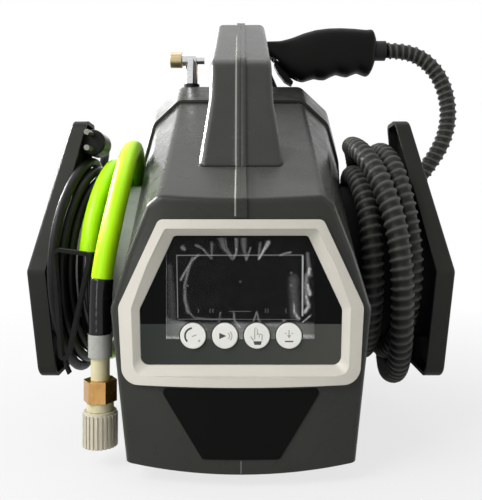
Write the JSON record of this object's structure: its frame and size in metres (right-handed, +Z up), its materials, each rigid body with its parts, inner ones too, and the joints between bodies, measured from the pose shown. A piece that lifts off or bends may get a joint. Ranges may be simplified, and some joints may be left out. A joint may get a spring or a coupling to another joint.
{
  "type": "steam pressure washer",
  "caption": "Portable steam pressure washer: wedge housing with carrying handle, control panel, side plates holding a coiled steam hose, water hose and power cord, and a spray gun in a holster.",
  "frame": {"origin": "on the floor under the middle of the washer, cords left out", "axes": "+X to the steam hose side, -Y is the front with the panel, +Z up"},
  "size_m": [0.4101, 0.34, 0.3986],
  "materials": {
    "casing": "satin grained",
    "tray": "matt",
    "feet": "matt",
    "screws": "satin",
    "bezel": "satin",
    "panel": "gloss",
    "film": "clear film",
    "electronics": "satin",
    "buttons": "satin",
    "plates": "satin grained",
    "steam_hose": "satin",
    "water_hose": "satin",
    "black_soft": "matt",
    "clear": "clear",
    "cream": "satin",
    "brass": "machined",
    "collar": "satin",
    "chrome": "polished",
    "gun": "satin",
    "steel": "brushed"
  },
  "bodies": {
    "washer": {"casing_left": "casing", "casing_right": "casing", "rear_cover": "casing", "handle_left": "casing", "handle_right": "casing", "base_tray": "tray", "rubber_feet": "feet", "casing_screws": "screws", "front_bezel": "bezel", "control_panel": "panel", "front_plate": "panel", "display_film": "film", "display_module": "electronics", "control_board": "electronics", "power_board": "electronics", "wrap_plate_left": "plates", "wrap_plate_right": "plates", "wrap_core_left": "plates", "wrap_core_right": "plates", "steam_hose_coil": "steam_hose", "steam_hose_lead": "steam_hose", "water_hose": "water_hose", "water_hose_tail": "water_hose", "hose_sleeve": "black_soft", "power_cord": "black_soft", "power_plug": "black_soft", "cord_gland": "black_soft", "tie_strap": "black_soft", "valve_gasket": "black_soft", "clear_sleeve": "clear", "tail_tube": "cream", "seal_ring": "cream", "hex_fitting": "brass", "valve_post": "chrome", "plug_pins": "chrome", "holster": "gun", "boiler": "steel", "boiler_saddles": "steel", "heater": "steel", "boiler_fittings": "steel", "pump_body": "steel", "pipes": "steel", "steam_outlet": "steel", "water_inlet": "steel"},
    "button_gauge": {"button_gauge": "buttons"},
    "button_start": {"button_start": "buttons"},
    "button_hand": {"button_hand": "buttons"},
    "button_level": {"button_level": "buttons"},
    "gun": {"gun_grip_front": "gun", "gun_grip_rear": "gun", "trigger_pin": "chrome", "trigger_spring": "chrome", "gun_nut": "brass", "gun_barrel": "steel", "gun_valve": "steel", "hose_cuff": "black_soft"},
    "trigger": {"gun_trigger": "gun"},
    "knob": {"valve_knob": "brass"},
    "collar": {"tap_collar": "collar"},
    "plunger": {"pump_plunger": "steel"}
  },
  "joints": [
    {"name": "press_gauge", "type": "slide", "parent": "washer", "child": "button_gauge", "axis": [0, 1, 0], "range_m": [0, 0.0012], "stiffness_N_per_m": 600, "springref_m": -0.0005},
    {"name": "press_start", "type": "slide", "parent": "washer", "child": "button_start", "axis": [0, 1, 0], "range_m": [0, 0.0012], "stiffness_N_per_m": 600, "springref_m": -0.0005},
    {"name": "press_hand", "type": "slide", "parent": "washer", "child": "button_hand", "axis": [0, 1, 0], "range_m": [0, 0.0012], "stiffness_N_per_m": 600, "springref_m": -0.0005},
    {"name": "press_level", "type": "slide", "parent": "washer", "child": "button_level", "axis": [0, 1, 0], "range_m": [0, 0.0012], "stiffness_N_per_m": 600, "springref_m": -0.0005},
    {"name": "gun_lift", "type": "slide", "parent": "washer", "child": "gun", "axis": [0, 0, 1], "range_m": [0, 0.07], "deforming": ["steam_hose_lead"]},
    {"name": "trigger_pull", "type": "hinge", "parent": "gun", "child": "trigger", "pos_m": [0.0412, 0.11, 0.361], "axis": [0, -1, 0], "range_deg": [0, 9], "stiffness_Nm_per_rad": 0.4, "springref_deg": -8.59, "deforming": ["trigger_spring"]},
    {"name": "knob_turn", "type": "hinge", "parent": "washer", "child": "knob", "pos_m": [-0.0705, 0.088, 0.358], "axis": [1, 0, 0], "range_deg": [0, 270]},
    {"name": "collar_spin", "type": "hinge", "parent": "washer", "child": "collar", "pos_m": [-0.1055, -0.128, 0.03], "axis": [0, 0, 1], "continuous": true},
    {"name": "plunger_stroke", "type": "slide", "parent": "washer", "child": "plunger", "axis": [0, 0, 1], "range_m": [0, 0.006]}
  ]
}
